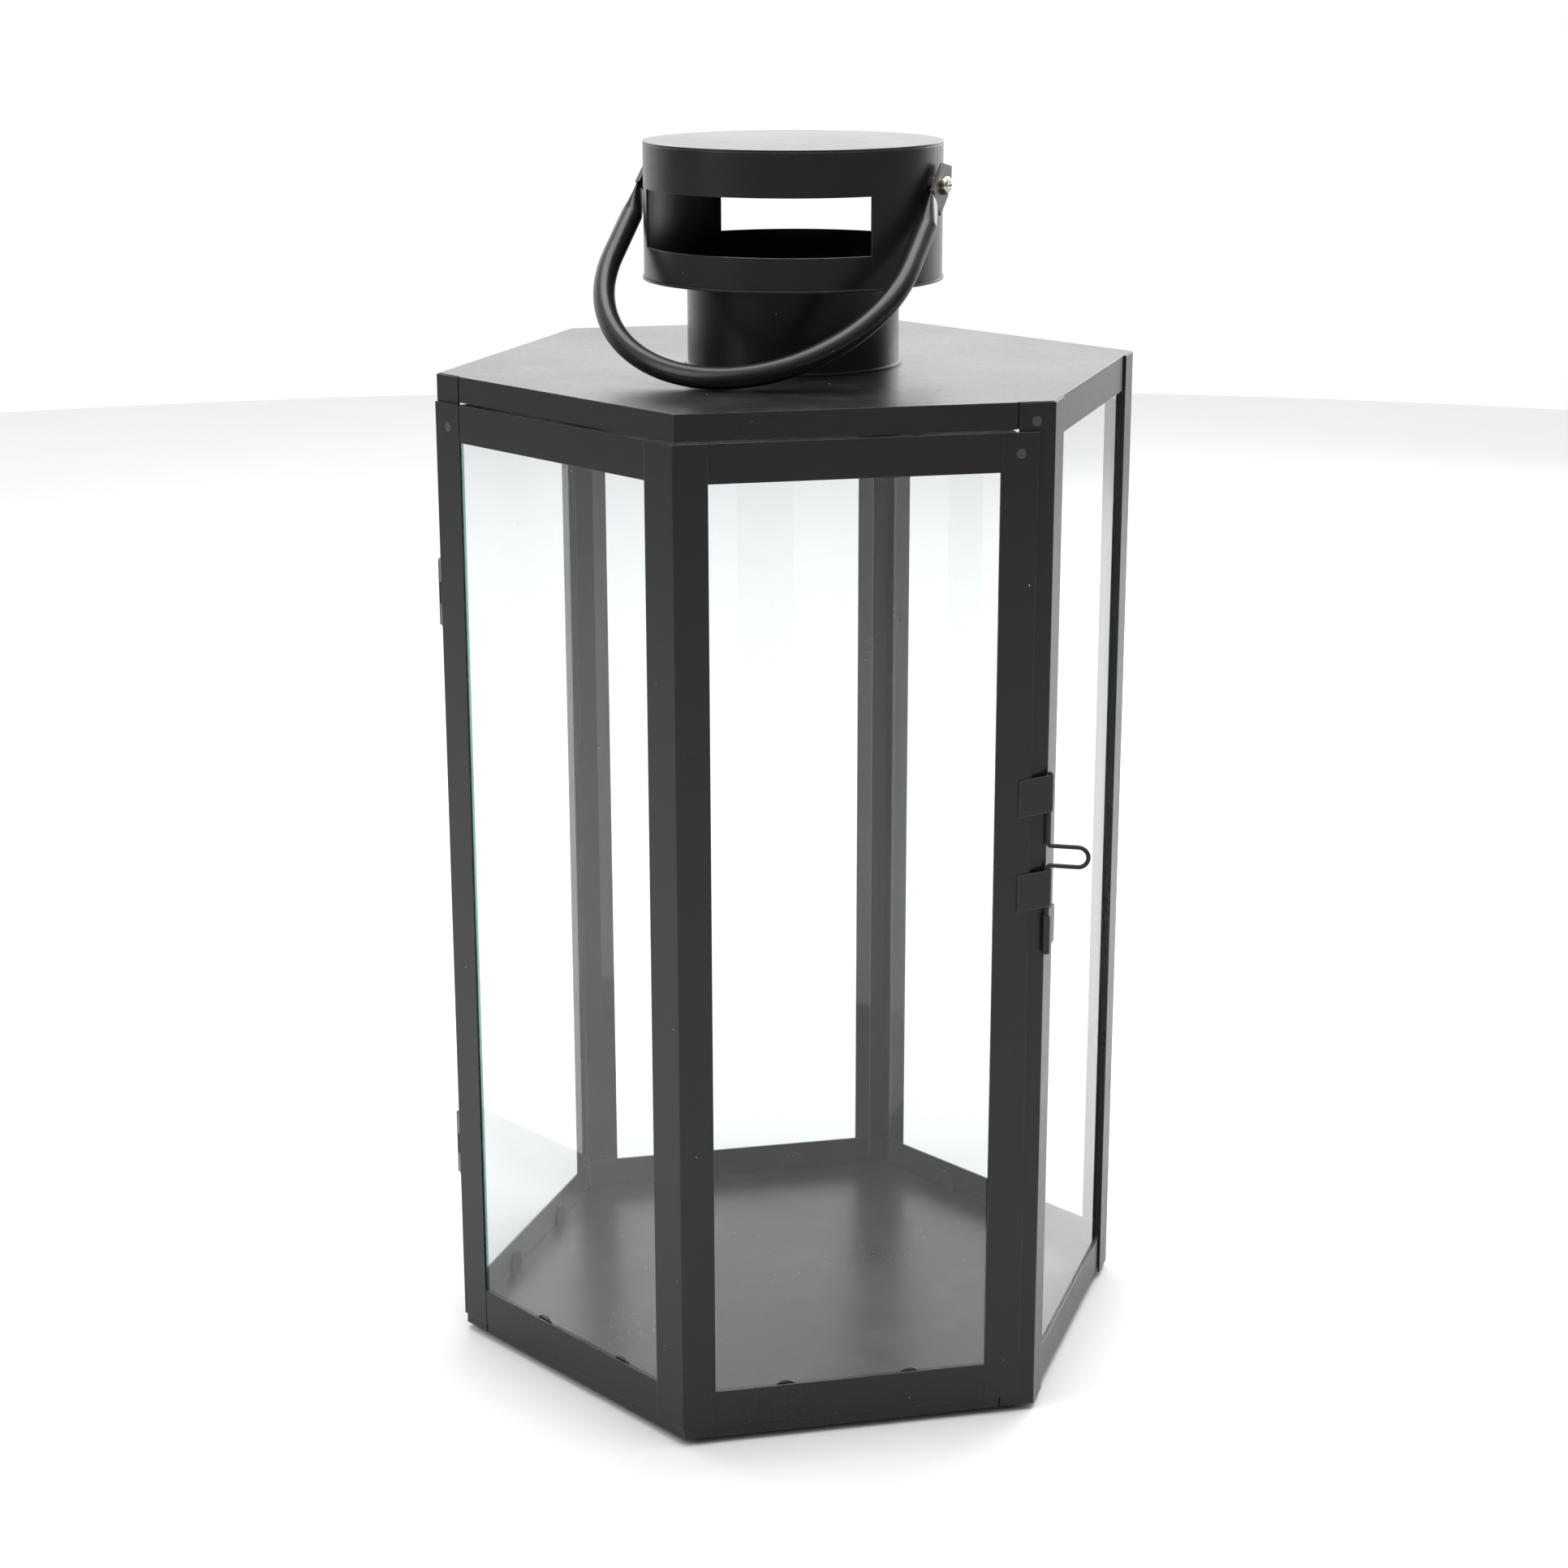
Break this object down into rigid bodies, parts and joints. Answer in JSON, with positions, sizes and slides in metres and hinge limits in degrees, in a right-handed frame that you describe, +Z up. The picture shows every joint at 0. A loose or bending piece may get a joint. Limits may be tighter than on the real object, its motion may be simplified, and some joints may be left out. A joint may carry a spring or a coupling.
{
  "type": "candle lantern",
  "caption": "Tall hexagonal glazed candle lantern of black sheet metal with a two-faced hinged door, a sliding wire bolt, a slotted vent drum and a swinging bail.",
  "frame": {"origin": "on the ground, under the middle of the hexagonal cage, level with the undersides of the rubber feet", "axes": "+Z up; -Y out of the front face, which carries the latch stile; +X towards the corner post on the right"},
  "size_m": [0.3215, 0.2877, 0.5549],
  "materials": {
    "black_coat": "satin powder coat",
    "bail_paint": "satin powder coat",
    "bolt_wire": "satin powder coat",
    "clear_glass": "clear, polished",
    "zinc_plate": "bright zinc plate",
    "pin_steel": "dull",
    "foot_rubber": "matte"
  },
  "bodies": {
    "cage": {"post_hinge_side": "black_coat", "post_latch_side": "black_coat", "post_right": "black_coat", "post_back_right": "black_coat", "post_back_left": "black_coat", "base_tray": "black_coat", "roof_cover": "black_coat", "feet": "foot_rubber", "pane_right": "clear_glass", "pane_back_right": "clear_glass", "pane_back_left": "clear_glass", "pane_left": "clear_glass", "pane_tabs": "black_coat", "neck_tube": "black_coat", "drum_floor": "black_coat", "drum_wall": "black_coat", "drum_top": "black_coat", "pivot_screws": "zinc_plate", "pivot_nuts_outer": "zinc_plate", "pivot_nuts_inner": "zinc_plate", "hinge_leaves": "black_coat", "hinge_pins": "pin_steel", "latch_keeper": "black_coat"},
    "door": {"door_hinge_stile": "black_coat", "door_corner_stile": "black_coat", "door_latch_stile": "black_coat", "door_top_rail_side": "black_coat", "door_top_rail_front": "black_coat", "door_bottom_rail_side": "black_coat", "door_bottom_rail_front": "black_coat", "door_pane_side": "clear_glass", "door_pane_front": "clear_glass", "door_clips_side": "black_coat", "door_clips_front": "black_coat", "hinge_knuckles": "black_coat", "latch_straps": "black_coat"},
    "bolt": {"latch_bolt": "bolt_wire"},
    "bail": {"bail_handle": "bail_paint"}
  },
  "joints": [
    {"name": "door_hinge", "type": "hinge", "parent": "cage", "child": "door", "pos_m": [-0.16002, 0.00347, 0.227], "axis": [0, 0, -1], "range_deg": [0, 190]},
    {"name": "bolt_slide", "type": "slide", "parent": "door", "child": "bolt", "axis": [0, 0, 1], "range_m": [0, 0.0138]},
    {"name": "bail_swing", "type": "hinge", "parent": "cage", "child": "bail", "pos_m": [0, 0, 0.5372], "axis": [-0.8192, 0.5736, 0], "range_deg": [0, 257.2]}
  ]
}
